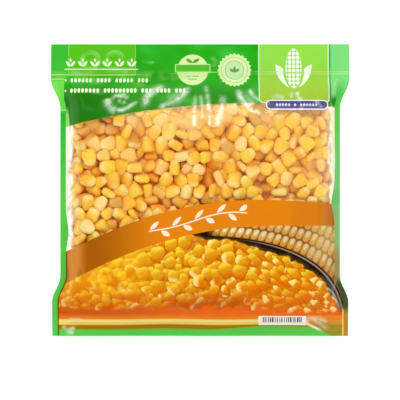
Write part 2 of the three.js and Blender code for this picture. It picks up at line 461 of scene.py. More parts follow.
class Field:
    """A number that varies over a surface, held as the output of a shader node."""

    def __init__(self, tree, socket):
        self.tree = tree
        self.socket = socket

    def through(self, operation, *others):
        node = self.tree.nodes.new("ShaderNodeMath")
        node.operation = operation
        for place, value in zip(node.inputs, (self, *others)):
            plug(self.tree, place, value)
        return Field(self.tree, node.outputs[0])

    def __add__(self, other):
        return self.through("ADD", other)

    def __sub__(self, other):
        return self.through("SUBTRACT", other)

    def __rsub__(self, other):
        return (self * -1).through("ADD", other)

    def __mul__(self, other):
        return self.through("MULTIPLY", other)

    def __truediv__(self, other):
        return self.through("DIVIDE", other)

    def __pow__(self, other):
        return self.through("POWER", other)

    def __abs__(self):
        return self.through("ABSOLUTE")

    __radd__ = __add__
    __rmul__ = __mul__

    def least(self, other):
        return self.through("MINIMUM", other)

    def most(self, other):
        return self.through("MAXIMUM", other)

    def climb(self, low, high):
        """0 at low and below, 1 at high and above, and smooth between them."""
        node = self.tree.nodes.new("ShaderNodeMapRange")
        node.interpolation_type = "SMOOTHSTEP"
        plug(self.tree, node.inputs["Value"], self)
        node.inputs["From Min"].default_value = low
        node.inputs["From Max"].default_value = high
        return Field(self.tree, node.outputs["Result"])

    def above(self, level=0, soft=0.35 * MM):
        """A mask, 1 where the field is over a level, with a crisp edge."""
        return self.climb(level - soft / 2, level + soft / 2)


# The middle of a pattern or a noise that runs from 0 to 1
MIDDLE = 0.5


def plug(tree, place, value):
    """Sets a socket from a field, another socket or a plain value."""
    if isinstance(value, Field):
        tree.links.new(value.socket, place)
    elif isinstance(value, bpy.types.NodeSocket):
        tree.links.new(value, place)
    elif isinstance(value, tuple) and len(value) == 3 and place.type == "RGBA":
        place.default_value = (*value, 1)
    else:
        place.default_value = value


def paint(tree, below, colour, mask):
    """One colour laid over another where the mask is 1."""
    node = tree.nodes.new("ShaderNodeMix")
    node.data_type = "RGBA"
    plug(tree, node.inputs["Factor"], mask)
    plug(tree, node.inputs[6], below)
    plug(tree, node.inputs[7], colour)
    return node.outputs[2]


def surface(tree):
    """The Object coordinates of the surface, whole and as the fields x and y."""
    place = tree.nodes.new("ShaderNodeTexCoord").outputs["Object"]
    apart = tree.nodes.new("ShaderNodeSeparateXYZ")
    tree.links.new(place, apart.inputs[0])
    return place, Field(tree, apart.outputs[0]), Field(tree, apart.outputs[1])


def new_material(name):
    """An empty material with the coordinates of its surface."""
    material = bpy.data.materials.new(name)
    material.use_nodes = True
    material.node_tree.nodes.clear()
    return material, material.node_tree, *surface(material.node_tree)


def part_of_print(draw):
    """Turns a function that draws a part of the print into one that does so in a node group of its own,
    laid over the colour below."""

    def lay(tree, below, *more):
        group = bpy.data.node_groups.new(draw.__name__, "ShaderNodeTree")
        group.interface.new_socket("Below", in_out="INPUT", socket_type="NodeSocketColor")
        group.interface.new_socket("Colour", in_out="OUTPUT", socket_type="NodeSocketColor")
        inside = group.nodes.new("NodeGroupInput").outputs[0]
        drawn = draw(group, *surface(group), inside, settings().colours, *more)
        plug(group, group.nodes.new("NodeGroupOutput").inputs[0], drawn)
        node = tree.nodes.new("ShaderNodeGroup")
        node.node_tree = group
        plug(tree, node.inputs[0], below)
        return node.outputs[0]

    return lay


def add_shader(tree, kind, **inputs):
    node = tree.nodes.new(kind)
    for name, value in inputs.items():
        plug(tree, node.inputs[name.replace("_", " ")], value)
    return node


def show(tree, shader):
    tree.links.new(shader.outputs[0], tree.nodes.new("ShaderNodeOutputMaterial").inputs["Surface"])


def show_principled(tree, **inputs):
    show(tree, add_shader(tree, "ShaderNodeBsdfPrincipled", **inputs))


def cloud(tree, place, size, detail=2.0, stretch=(1, 1, 1)):
    """Soft noise from 0 to 1 with features of the given size."""
    mapping = tree.nodes.new("ShaderNodeMapping")
    mapping.inputs["Scale"].default_value = stretch
    tree.links.new(place, mapping.inputs["Vector"])
    node = add_shader(tree, "ShaderNodeTexNoise", Vector=mapping.outputs[0], Scale=1 / size, Detail=detail)
    return Field(tree, node.outputs["Fac"])


def bump(tree, height, depth, strength):
    node = add_shader(tree, "ShaderNodeBump", Height=height, Distance=depth, Strength=strength)
    return node.outputs["Normal"]


def disc(x, y, centre, radius):
    return radius - length_of(x - centre[0], y - centre[1])


def length_of(x, y):
    return (x * x + y * y).through("SQRT")


def rounded(x, y, low, high, corner):
    """Depth inside a box with round corners, in metres, and under 0 outside it."""
    across = abs(x - (low[0] + high[0]) / 2) - (high[0] - low[0]) / 2 + corner
    along = abs(y - (low[1] + high[1]) / 2) - (high[1] - low[1]) / 2 + corner
    outside = length_of(across.most(0), along.most(0))
    return corner - outside - across.most(along).least(0)


def turned(x, y, centre, angle):
    """The fields x and y about a centre, turned by an angle."""
    dx, dy = x - centre[0], y - centre[1]
    c, s = math.cos(angle), math.sin(angle)
    return dx * c + dy * s, dy * c - dx * s


def leaf(x, y, centre, angle, length, width):
    """Depth inside a pointed leaf, made by two round arcs that cross."""
    along, across = turned(x, y, centre, angle)
    radius = (length**2 / 4 + width**2 / 4) / width
    return radius - length_of(along, abs(across) + (radius - width / 2))


def arch(x, y, centre, reach, power=2.5):
    """Over 1 outside a broad arch, as a pan's rim seen from the side, and under 1 inside."""
    across = abs((x - centre[0]) / reach[0]) ** power
    along = ((y - centre[1]) / reach[1]).most(0) ** power
    return (across + along) ** (1 / power)


def window_lines(x):
    """The window's arcs at the header and at the band, as window_top and window_foot give them."""
    off = x - WINDOW_TOP_MIDDLE
    top = WINDOW_TOP - WINDOW_TOP_BEND * off * off
    left = (x - WINDOW_FOOT_MIDDLE).least(0)
    right = (x - WINDOW_FOOT_MIDDLE).most(0)
    foot = WINDOW_FOOT - left * left * WINDOW_FOOT_BENDS[0] - right * right * WINDOW_FOOT_BENDS[1]
    return top, foot


def outline_field(y):
    """Half of the bag's width at a y, as half_width gives it."""
    head = y.climb(*NECK) * ((HEAD_WIDTH - WAIST_WIDTH) / 2)
    foot = 1 - y.climb(HEEL[1], HEEL[0])
    return head + foot * ((FOOT_WIDTH - WAIST_WIDTH) / 2) + WAIST_WIDTH / 2


# Numbers of a hash: the steps from one seed to the next, along a row and from row to row, and its spread
SEED_STEPS = (12.9898, 78.233)
SEED_SPREAD = 43758.5453


def own_number(seed):
    """A number from 0 to 1 for each seed, which looks drawn by chance."""
    return (seed.through("SINE") * SEED_SPREAD).through("FRACT")


def joined(masks):
    """One mask of several."""
    whole = masks[0]
    for mask in masks[1:]:
        whole = whole.most(mask)
    return whole


def vector_math(tree, operation, *inputs):
    node = tree.nodes.new("ShaderNodeVectorMath")
    node.operation = operation
    for place, value in zip(node.inputs, inputs):
        plug(tree, place, value)
    return node


def pictured(tree, place, pitch, shift, shape, angle, swing):
    """Kernels in a picture, about a pitch apart. Each is a rounded box of its own size, turned its own
    way about an angle. Gives how far a place is from the middle of the nearest kernel, with 1 at the
    kernel's edge, then how far along it and how far towards the light, and two numbers of its own."""
    mapping = tree.nodes.new("ShaderNodeMapping")
    mapping.inputs["Location"].default_value = (shift, shift * 1.7, 0)
    mapping.inputs["Scale"].default_value = (1 / pitch, 1 / pitch, 1)
    tree.links.new(place, mapping.inputs["Vector"])
    cells = tree.nodes.new("ShaderNodeTexVoronoi")
    cells.voronoi_dimensions = "2D"
    cells.inputs["Randomness"].default_value = 0.85
    cells.inputs["Scale"].default_value = 1
    tree.links.new(mapping.outputs[0], cells.inputs["Vector"])
    offset = vector_math(tree, "SUBTRACT", mapping.outputs[0], cells.outputs["Position"]).outputs[0]
    apart = tree.nodes.new("ShaderNodeSeparateColor")
    tree.links.new(cells.outputs["Color"], apart.inputs[0])
    first, second, third = (Field(tree, output) for output in apart.outputs)
    rotate = tree.nodes.new("ShaderNodeVectorRotate")
    rotate.rotation_type = "Z_AXIS"
    tree.links.new(offset, rotate.inputs["Vector"])
    plug(tree, rotate.inputs["Angle"], (third - 0.5) * (2 * swing) - angle)
    split = tree.nodes.new("ShaderNodeSeparateXYZ")
    tree.links.new(rotate.outputs[0], split.inputs[0])
    along, across = (Field(tree, split.outputs[i]) for i in (0, 1))
    size = second * 0.3 + 0.8
    half = (along * 0.25 + 1) * size
    far = (abs(along / (shape[0] * size)) ** 3.0 + abs(across / (half * shape[1])) ** 3.0) ** (1 / 3)
    light = (math.cos(LIGHT_IN_PICTURE), math.sin(LIGHT_IN_PICTURE), 0)
    lit = Field(tree, vector_math(tree, "DOT_PRODUCT", offset, light).outputs["Value"])
    return far, along, lit, first, second


PAN_CENTRE = (-8 * MM, -95 * MM)
PAN_REACH = (106 * MM, 64.7 * MM)
HEAP_REACH = (101 * MM, 59.5 * MM)
LIGHT_IN_PICTURE = math.radians(112)
# How the heap's kernels lie at its left and at its right: the half length and half width as shares of
# the pitch, the angle in radians, and how far each can be turned from it
HEAP_LIES = [((0.52, 0.46), 0.4, 1.4), ((0.72, 0.29), -0.6, 0.3)]
# Layers of the heap's kernels from the back to the front: the pitch in mm, a shift, and the share left out
HEAP_LAYERS = [(5.8, 0.0, 0.0), (6.9, 3.3, 0.1), (8.0, 6.1, 0.3), (9.0, 9.7, 0.5)]


def heaped_kernels(tree, place, colour, tones, layer, lie, deep):
    """One layer of pictured kernels over the colour below it, each round and lit from above."""
    pitch, shift, left_out = layer
    shape, angle, swing = lie
    far, along, lit, own, other = pictured(tree, place, pitch * MM, shift, shape, angle, swing)
    pale, plain, dark = tones
    shown = own.above(left_out, 0.02)
    colour = paint(tree, colour, shade("#b84e00"), (1.3 - far - lit * 0.5).climb(0, 0.3) * shown * 0.5)
    tone = paint(tree, plain, dark, (deep + (other - MIDDLE) * 0.6).climb(0.1, 1))
    tone = paint(tree, tone, pale, lit.climb(-0.05, 0.36) * (1 - deep * 0.6))
    tone = paint(tree, tone, shade("#d86a02"), (lit * -1).climb(0.08, 0.5) * 0.75)
    cut = (along * -1).climb(0.05, 0.3) * own.climb(0.78, 0.86) * 0.75
    tone = paint(tree, tone, shade("#ffe88c"), cut)
    return paint(tree, colour, tone, (1 - far).climb(-0.04, 0.1) * shown)


@part_of_print
def heap_lying(tree, place, x, y, colour, colours, lie):
    """The heap's kernels, all lying one way: yellow at the top left, and orange below."""
    deep = ((y * -1).climb(42 * MM, 84 * MM) * 0.9 + x.climb(-20 * MM, 60 * MM) * 0.25).least(1)
    tones = (shade("#fad438"), colours.heap[:], colours.heap_deep[:])
    for layer in HEAP_LAYERS:
        colour = heaped_kernels(tree, place, colour, tones, layer, lie, deep)
    return colour


def picture_of_heap(tree, place, x, y):
    """The kernels heaped in the pan: soft at the left, and longer, side by side, at the right."""
    gap = shade("#d87a08")
    left, right = (heap_lying(tree, gap, lie) for lie in HEAP_LIES)
    lit = (cloud(tree, place, 6 * MM, 1) - (y * -1 - 60 * MM) * 6).climb(0.4, 0.6)
    soft = paint(tree, shade("#e88c08"), shade("#ffc826"), lit)
    softened = (-22 * MM - x).climb(0, 42 * MM) * (72 * MM + y).climb(0, 6 * MM) * 0.6
    left = paint(tree, left, soft, softened)
    wobble = (cloud(tree, place, 12 * MM) - MIDDLE) * (30 * MM)
    return paint(tree, left, right, (x + wobble + y * 0.3).above(16 * MM, 3 * MM))


@part_of_print
def picture_of_cob(tree, _, x, y, below, colours):
    """Slanting rows of kernels on a cob that lies behind the pan."""
    outside = arch(x, y, PAN_CENTRE, PAN_REACH)
    rows = (outside - 1) * (PAN_REACH[1] / (7.0 * MM))
    row = rows.through("FLOOR")
    run = (x - y * 0.5) / (5.4 * MM) + row * 0.5 + x * x * 9.0
    own = own_number(run.through("FLOOR") * SEED_STEPS[0] + row * SEED_STEPS[1])
    across = abs(run.through("FRACT") - MIDDLE)
    along = abs(rows.through("FRACT") - MIDDLE)
    body = (across ** 2.6 + along ** 2.6) ** (1 / 2.6)
    far = x.climb(10 * MM, 75 * MM)
    low = rows.through("FRACT") * -1 + 1
    colour = paint(tree, shade("#c48a30"), colours.cob[:], own)
    colour = paint(tree, colour, shade("#e39a2c"), low.climb(0.35, 0.9) * 0.55)
    crown = 0.42 - body + (MIDDLE - low) * 0.75
    colour = paint(tree, colour, shade("#fdf4c4"), crown.climb(0.1, 0.45) * (0.95 - far * 0.4))
    colour = paint(tree, colour, shade("#b98658"), far * own * 0.6)
    colour = paint(tree, colour, shade("#7c4808"), (body - 0.4).climb(0, 0.1) * 0.85)
    corner = x.climb(70 * MM, 88 * MM) * (-50 * MM - y).climb(0, 20 * MM)
    colour = paint(tree, colour, shade("#9a6434"), corner * 0.6)
    sheen = (x - 66 * MM).least(y + 54 * MM).climb(0, 18 * MM) * 0.32
    colour = paint(tree, colour, shade("#f2d484"), sheen)
    return paint(tree, below, colour, outside.climb(0.997, 1.003) * x.climb(4 * MM, 14 * MM))


@part_of_print
def picture(tree, place, x, y, _, colours):
    """The picture in the lower third: a heap of kernels in a dark pan, with a cob behind it."""
    wobble = (cloud(tree, place, 7 * MM) - MIDDLE) * 0.09
    outside_pan = arch(x, y, PAN_CENTRE, PAN_REACH)
    crest = (42 * MM - x).climb(0, 24 * MM) * (3 * MM) + (4 * MM - x).climb(0, 12 * MM) * (3 * MM)
    outside_heap = arch(x, y - crest, PAN_CENTRE, HEAP_REACH, 2.4) + wobble
    colour = picture_of_heap(tree, place, x, y)
    dark = paint(tree, colours.pan[:], shade("#5a4f1e"), (1.05 - outside_heap).climb(0, 0.06) * 0.7)
    colour = paint(tree, colour, dark, outside_heap.climb(0.995, 1.012))
    rim = outside_pan.climb(0.975, 0.98) * (1 - outside_pan.climb(0.986, 0.991))
    colour = paint(tree, colour, shade("#a89a90"), rim * x.climb(20 * MM, 60 * MM) * 0.75)
    return picture_of_cob(tree, colour)


@part_of_print
def foot_bands(tree, place, x, y, colour, colours):
    """The stripes under the picture: deep orange, a pale gold painted highlight along the film's fold,
    olive, and the green of the foot's seal.
    """
    shaded = (-69 * MM - y).climb(0, 10 * MM) * cloud(tree, place, 6 * MM).climb(0.35, 0.65) * 0.6
    colour = paint(tree, colour, shade("#dd5a00"), shaded * (1 - x.climb(45 * MM, 70 * MM) * 0.8))
    middle = 1 - (abs(x - 4 * MM) / (36 * MM)).climb(0.4, 1)
    colour = paint(tree, colour, shade("#b23c00"), (-64 * MM - y).climb(0, 12 * MM) * middle * 0.5)
    level = y + (cloud(tree, place, 60 * MM, 0) - MIDDLE) * (3 * MM)
    ends = (cloud(tree, place, 8 * MM) - MIDDLE) * (9 * MM) - x.climb(20 * MM, 60 * MM) * (2 * MM)
    deep = paint(tree, shade("#d05600"), shade("#ec6600"), x.climb(-60 * MM, 10 * MM))
    colour = paint(tree, colour, deep, (-78 * MM - y + ends).climb(-1 * MM, 2.4 * MM))
    colour = paint(tree, colour, shade("#f08208"), (-82.5 * MM - level).climb(0, 3.5 * MM))
    # Painted highlight: a pale gold stripe where the film folds over at the foot
    colour = paint(tree, colour, shade("#ffe68a"), (-86.2 * MM - level).climb(0, 1.4 * MM))
    colour = paint(tree, colour, shade("#ffd050"), (-88.8 * MM - level).above(soft=0.8 * MM) * 0.8)
    colour = paint(tree, colour, shade("#9e7e08"), (-90.6 * MM - level).above(soft=1 * MM))
    seal_edge = x.climb(0, 45 * MM) * (1.8 * MM) - 93.6 * MM
    return paint(tree, colour, colours.seal[:], (seal_edge - level).above())


@part_of_print
def band(tree, place, x, y, colour, colours):
    """The orange band under the window, with a plain sprig across its middle."""
    window_foot_line = window_lines(x)[1]
    left = (x - 47.4 * MM).least(0)
    foot = -23.8 * MM - left * left * 2.06
    # Painted shade of the band's folds darkens it towards the left, and a painted sheen lightens its left
    # end
    tone = paint(tree, colours.band[:], shade("#a95c06"), (-20 * MM - x).climb(0, 52 * MM))
    tone = paint(tree, tone, shade("#e08a34"), (-74 * MM - x).climb(0, 8 * MM) * 0.85)
    tone = paint(tree, tone, shade("#cf7618"), x.climb(56 * MM, 66 * MM) * 0.6)
    tone = paint(tree, tone, shade("#b4600a"), x.climb(80 * MM, 86 * MM) * 0.6)
    # Darker streaks of painted shade in the folds at the left
    streaks = cloud(tree, place, 14 * MM, 1, (3, 0.6, 1)).climb(0.5, 0.75)
    tone = paint(tree, tone, shade("#a4590c"), streaks * (-50 * MM - x).climb(0, 15 * MM) * 0.6)
    sprig = sprig_mask(x, y, (window_foot_line + foot) * 0.5)
    tone = paint(tree, tone, shade("#ffe8cc"), sprig)
    inside = (y - foot).above() * (window_foot_line - y + 2 * MM).above()
    return paint(tree, colour, tone, inside)


def sprig_mask(x, y, line):
    """A stem that waves along a line, with small leaves on both sides in turn."""
    pitch = 7.4 * MM
    start, end = -34 * MM, 31 * MM
    wave = (x / (10.5 * MM)).through("SINE") * (1.6 * MM)
    off = y - line - wave
    run = (x - start) / pitch
    cell = run.through("FLOOR")
    side = 1 - ((cell * 0.5).through("FRACT") * 4)
    local = (run.through("FRACT") - MIDDLE) * pitch
    tilt = math.radians(38)
    along = local * math.cos(tilt) + (off * side - 3.2 * MM) * math.sin(tilt)
    across = (off * side - 3.2 * MM) * math.cos(tilt) - local * math.sin(tilt)
    leaf_radius = 5.2 * MM
    leaf_depth = leaf_radius - length_of(along, abs(across) + (leaf_radius - 1.5 * MM))
    stem = 0.42 * MM - abs(off)
    reach = (x - start).above() * (end - x).above()
    return (stem.above() + leaf_depth.above()).least(1) * reach


def words(x, y, left, level, height, widths, gap):
    """Plain rounded bars in a row, where a line of print would stand."""
    bars = []
    for width in widths:
        low = (left * MM, (level - height / 2) * MM)
        high = ((left + width) * MM, (level + height / 2) * MM)
        bars.append(rounded(x, y, low, high, 0.45 * height * MM).above())
        left += width + gap
    return joined(bars)


def beads(x, y, left, level, height, counts, pitch=2.5):
    """Rows of small upright beads, like kernels on a cob, in groups that stand apart."""
    run = (x - left * MM) / (pitch * MM)
    local = run.through("FRACT") - MIDDLE
    bead = 1 - length_of(local / 0.38, (y - level * MM) / (height / 2 * MM))
    groups = []
    first = 0
    for count in counts:
        groups.append((run - first).above(soft=0.02) * (first + count - run).above(soft=0.02))
        first += count + 1
    return bead.above(soft=0.25) * joined(groups)


def sprouts(x, y, start, pitch, count):
    """A row of small sprouts, each with two leaves and a bud, as an ornament."""
    run = (x - start[0]) / pitch
    local = (run.through("FRACT") - MIDDLE) * pitch
    blades = []
    for tilt, lift, long, wide in ((52, 2.2, 4.8, 1.9), (128, 2.2, 4.8, 1.9), (90, 4.6, 2.6, 1.5)):
        lean = math.cos(math.radians(tilt)) * 2.6 * MM
        blade = leaf(local, y, (lean, start[1] + lift * MM), math.radians(tilt), long * MM, wide * MM)
        blades.append(blade.above())
    return joined(blades) * (x - start[0]).above() * (start[0] + count * pitch - x).above()


def ring(depth, width):
    """A line of the given width just inside a shape's edge."""
    return depth.above() * (width - depth).above()


@part_of_print
def badges(tree, _, x, y, colour, colours):
    """Two pale seals on the header: a disc with a green label across it, and a scalloped one."""
    leafy = shade("#6f9c34")
    fresh = shade("#54bf2c")
    centre = (-5 * MM, 80.4 * MM)
    colour = paint(tree, colour, colours.badge[:], disc(x, y, centre, 10.4 * MM).above())
    label = rounded(x, y, (-16.8 * MM, 78.9 * MM), (6.8 * MM, 84.4 * MM), 0.6 * MM)
    colour = paint(tree, colour, fresh, label.above())
    colour = paint(tree, colour, colours.badge[:], ring(label, 0.45 * MM))
    for turn in (150, 30):
        side = math.cos(math.radians(turn))
        blade = leaf(x, y, ((-5 + 2.6 * side) * MM, 86.6 * MM), math.radians(turn), 5.4 * MM, 2.2 * MM)
        colour = paint(tree, colour, leafy, blade.above())
    colour = paint(tree, colour, leafy, words(x, y, -9.5, 76.2, 0.8, (3.2, 4.6), 0.9) * 0.6)
    colour = paint(tree, colour, leafy, words(x, y, -8.2, 74.2, 0.8, (6.2,), 0.9) * 0.6)
    centre = (23 * MM, 80.3 * MM)
    angle = (y - centre[1]).through("ARCTAN2", x - centre[0])
    teeth = (angle * 24).through("COSINE") * (0.45 * MM)
    scallop = disc(x, y, centre, 10.9 * MM) + teeth
    colour = paint(tree, colour, colours.badge[:], scallop.above())
    colour = paint(tree, colour, leafy, ring(disc(x, y, centre, 8.9 * MM), 0.4 * MM) * 0.55)
    colour = paint(tree, colour, shade("#c8ecb0"), disc(x, y, centre, 6.4 * MM).above())
    colour = paint(tree, colour, leafy, ring(disc(x, y, centre, 6.4 * MM), 0.35 * MM) * 0.7)
    for turn in (90, 35, 145):
        angle = math.radians(turn)
        middle = (centre[0] + 2 * MM * math.cos(angle), centre[1] + (2 * math.sin(angle) - 1.4) * MM)
        blade = leaf(x, y, middle, angle, 4.2 * MM, 1.7 * MM)
        colour = paint(tree, colour, leafy, blade.above())
    return colour


@part_of_print
def lime_panel(tree, _, x, y, colour, colours):
    """The lime panel with a plain cob on it, and the violet pill under it."""
    white = shade("#f2feea")
    panel = rounded(x, y, (39 * MM, 57.6 * MM), (86.2 * MM, 140 * MM), 3.2 * MM)
    tone = paint(tree, colours.panel[:], shade("#a2c636"), (90 * MM - y).climb(0, 30 * MM))
    colour = paint(tree, colour, tone, panel.above())
    colour = paint(tree, colour, white, ring(panel, 0.7 * MM) * 0.75)
    middle = (62.6 * MM, 81.5 * MM)
    along, across = turned(x, y, middle, math.radians(90))
    body = 1 - length_of(along / (13.5 * MM), across / (5.4 * MM))
    leaves = []
    for side in (-1, 1):
        tilt = math.radians(90 + side * 33)
        root = (middle[0] - side * 6.6 * MM, middle[1] - 5.6 * MM)
        leaves.append(leaf(x, y, root, tilt, 20 * MM, 6.6 * MM).above())
    husk = joined(leaves)
    colour = paint(tree, colour, white, husk)
    gap = leaf(x, y, (middle[0], middle[1] - 1 * MM), math.radians(90), 31 * MM, 14 * MM)
    colour = paint(tree, colour, tone, gap.above() * husk)
    rows = abs((along / (2.9 * MM)).through("FRACT") - MIDDLE)
    lines = abs((across / (2.7 * MM) + MIDDLE).through("FRACT") - MIDDLE)
    kernels = (rows ** 2.5 + lines ** 2.5) ** 0.4
    colour = paint(tree, colour, white, body.above(soft=0.05) * (0.44 - kernels).above(soft=0.06))
    return violet_pill(tree, x, y, colour, colours)[0]


def violet_pill(tree, x, y, colour, colours):
    """The violet pill that crosses from the print into the window, and its mask."""
    pill = rounded(x, y, (43.6 * MM, 53.2 * MM), (85.2 * MM, 59.8 * MM), 3.2 * MM)
    colour = paint(tree, colour, colours.pill[:], pill.above())
    colour = paint(tree, colour, shade("#f4eefa"), ring(pill, 0.7 * MM))
    colour = paint(tree, colour, shade("#d8d0f0"), beads(x, y, 50, 56.5, 1.9, (5, 1, 6), 2.0) * 0.9)
    return colour, pill.above()


@part_of_print
def ornaments(tree, _, x, y, colour, _colours):
    """A row of sprouts over a rule, and two rows of beads under it."""
    mask = sprouts(x, y, (-91 * MM, 82.4 * MM), 8.2 * MM, 6)
    mask = mask + rounded(x, y, (-91 * MM, 80.6 * MM), (-41.6 * MM, 81.3 * MM), 0.3 * MM).above() * 0.9
    for level, counts in ((73.4, (6, 4, 5, 3)), (66.2, (8, 9, 3, 4, 3))):
        mask = mask + beads(x, y, -87, level, 3.2, counts) * 0.95
        mask = mask + disc(x, y, (-90 * MM, level * MM), 0.7 * MM).above()
    return paint(tree, colour, shade("#e9fbd0"), mask)


@part_of_print
def header(tree, place, x, y, colour, colours):
    """The green header over the window with what is printed on it."""
    top_line = window_lines(x)[0]
    tone = cloud(tree, place, 26 * MM, 1, (1, 1.6, 1))
    green = paint(tree, colours.header[:], shade("#3ec43c"), tone.climb(0.5, 0.75))
    green = paint(tree, green, shade("#1f9c08"), (1 - tone).climb(0.5, 0.7) * 0.8)
    green = paint(tree, green, shade("#3fc237"), (-88 * MM - x).climb(-3 * MM, 2 * MM) * 0.8)
    # Painted shade: a darker green where the header slopes down to the window, deepest near its left end
    slope_shade = (77 * MM - y).climb(0, 16 * MM)
    dark = paint(tree, colours.shoulder[:], shade("#3fae2c"), tone.climb(0.5, 0.7))
    deepest_shade = (1 - (length_of(x + 78 * MM, (y - 52 * MM) * 0.7) / (30 * MM))).climb(0, 0.8)
    dark = paint(tree, dark, shade("#1f7a0c"), deepest_shade)
    green = paint(tree, green, dark, slope_shade)
    streaks = cloud(tree, place, 10 * MM, 2, (0.5, 1.5, 1)).climb(0.5, 0.75)
    streaks = streaks * (12 * MM - abs(y - 68 * MM)).climb(0, 6 * MM) * (x * -1).climb(-5 * MM, 25 * MM)
    green = paint(tree, green, shade("#86c84c"), streaks * 0.4)
    # The turned-up flap at the left; its paler green is painted light, where it faces the light
    turned_up = (1.7 * MM - abs(x + 89.2 * MM + (y - 48 * MM) * 0.1)).above(soft=0.8 * MM)
    green = paint(tree, green, shade("#a8ec78"), turned_up * (57 * MM - y).climb(0, 8 * MM) * 0.9)
    ghost = rounded(x, y, (-88.4 * MM, 76.6 * MM), (-43.2 * MM, 140 * MM), 0.8 * MM)
    green = paint(tree, green, shade("#62c91c"), ghost.above() * 0.75)
    for middle in (-73.5, -57):
        hoop = ring(disc(x, y, (middle * MM, 87 * MM), 7 * MM), 3 * MM)
        green = paint(tree, green, shade("#a6e07a"), hoop * tone.climb(0.35, 0.6) * 0.5)
    green = paint(tree, green, shade("#c3dc8c"), ring(ghost, 0.5 * MM) * 0.5)
    edge = abs(x).climb(86.5 * MM, 88 * MM) * (y - 60 * MM).climb(0, 5 * MM)
    green = paint(tree, green, shade("#84e284"), edge * x.above() * 0.9)
    green = lime_panel(tree, green)
    green = badges(tree, green)
    green = ornaments(tree, green)
    line = y - 77.2 * MM - x.climb(-50 * MM, 30 * MM) * (2 * MM)
    # Painted highlights: a paler band about the seal, and pale lines along its edges
    seal_highlight = (5 * MM - abs(line + 1 * MM)).climb(0, 4 * MM) * (x * -1).climb(-10 * MM, 30 * MM)
    seal_highlight = seal_highlight * cloud(tree, place, 9 * MM, 2).climb(0.35, 0.65)
    green = paint(tree, green, shade("#8edc5a"), seal_highlight * 0.4)
    seal_line = (0.3 * MM - abs(line)).above(soft=0.5 * MM)
    second = (0.25 * MM - abs(line + 1.5 * MM)).above(soft=0.5 * MM) * x.climb(20 * MM, 30 * MM)
    green = paint(tree, green, shade("#c9f08a"), (seal_line + second) * tone.climb(0.3, 0.6) * 0.75)
    return paint(tree, colour, green, (y - top_line).above())


@part_of_print
def bar_label(tree, _, x, y, colour, _colours):
    """A white label with plain upright bars at the foot, and the folded corner beside it, with a painted
    highlight along its fold.
    """
    label = rounded(x, y, (39 * MM, -90.6 * MM), (70.8 * MM, -84.2 * MM), 0.5 * MM).above()
    colour = paint(tree, colour, shade("#fffaf2"), label)
    run = x / (1.2 * MM)
    thick = own_number(run.through("FLOOR") * SEED_STEPS[0]) * 0.45 + 0.3
    bars = rounded(x, y, (41.5 * MM, -88.7 * MM), (68.4 * MM, -84.9 * MM), 0.1 * MM).above()
    bars = bars * (thick - run.through("FRACT")).above(soft=0.1)
    colour = paint(tree, colour, shade("#2a1c10"), bars)
    run, off = turned(x, y, (77 * MM, -92.6 * MM), math.radians(-25))
    corner = off.above() * x.climb(71 * MM, 74 * MM) * (-84 * MM - y).above(soft=1 * MM)
    corner_tone = paint(tree, shade("#f08c28"), shade("#a08a26"), (-85 * MM - y).climb(0, 8 * MM))
    colour = paint(tree, colour, corner_tone, corner * 0.9)
    # Painted highlight: a pale line along the corner's fold
    fold = (0.7 * MM - abs(off - 0.4 * MM)).above(soft=1.4 * MM)
    fold = fold * (7 * MM - abs(run + 2 * MM)).climb(-2 * MM, 5 * MM)
    return paint(tree, colour, shade("#fff4e0"), fold)


def strip_field(x, y):
    """Width of the side seal's print, as strip_width gives it."""
    width = STRIP
    for side, at, reach, more in CRUMPLES:
        bulge = ((y - at) * (y - at) / (-(reach**2))).through("EXPONENT") * more
        width = bulge * (x * side).above() + width
    return width


@part_of_print
def side_strips(tree, _, x, y, colour, colours):
    """The seals down both sides: green, and at the lower right in the colours of the picture."""
    edge = outline_field(y) - abs(x)
    left = 1 - x.above()
    lower = (y * -1).climb(-50 * MM, 20 * MM)
    green = paint(tree, shade("#34bf3e"), colours.seal[:], lower.most(y.climb(54 * MM, 58 * MM)))
    green = paint(tree, colours.seal[:], green, left)
    green = paint(tree, green, shade("#70ca70"), x.above() * (50 * MM - y).climb(0, 30 * MM))
    # Painted light: a paler green where the left seal is folded over and faces the light
    green = paint(tree, green, shade("#74e452"), (9 * MM - abs(y - 63 * MM)).climb(-3 * MM, 1 * MM) * left)
    # Pale green, with ochre, dark green and then gold laid over it further down
    picture_side = shade("#8cc87e")
    for code, level, reach in (("#a89a62", -32, 14), ("#485836", -57, 6), ("#b88c2c", -78, 5)):
        picture_side = paint(tree, picture_side, shade(code), (level * MM - y).climb(0, reach * MM))
    right = x.above() * (-10 * MM - y).above(soft=1.5 * MM)
    strip_colour = paint(tree, green, picture_side, right)
    neck = (abs(x) - 91 * MM).least(y - 50 * MM)
    upper = (74.5 * MM - y).above() * left + (76 * MM - y).climb(0, 14 * MM) * x.above()
    strip = ((strip_field(x, y) - edge).most(neck)).above() * upper
    line = (1.0 * MM - abs(edge - STRIP * 1.1)).climb(0, 0.8 * MM) * (-40 * MM - y).above(soft=1 * MM)
    colour = paint(tree, colour, shade("#4e4a08"), line * left * 0.85)
    gilt = (0.55 * MM - abs(x - 95.6 * MM)).above() * (-80 * MM - y).above(soft=2 * MM)
    colour = paint(tree, colour, strip_colour, strip)
    ends = (0.3 * MM - abs(y - 53.3 * MM)).above() + (0.35 * MM - abs(y - 74.4 * MM)).above()
    colour = paint(tree, colour, shade("#d6f6cc"), ends * strip * left * 0.8)
    return paint(tree, colour, shade("#ffd676"), gilt * 0.8)


def glints(tree, place):
    """The painted highlights along the film's folds: soft and patchy, with finer and brighter marks in the
    middle.
    """
    painted_glint = attribute(tree, "painted_glint")
    patches = cloud(tree, place, 4 * MM, 2).climb(0.3, 0.6) * 0.55 + 0.45
    veins = (1 - abs(cloud(tree, place, 3.4 * MM, 1) - MIDDLE) * 12).most(0)
    return (painted_glint.climb(0.05, 0.95) * patches * 0.9 + painted_glint.climb(0.15, 0.7) * veins * 0.3).least(1)


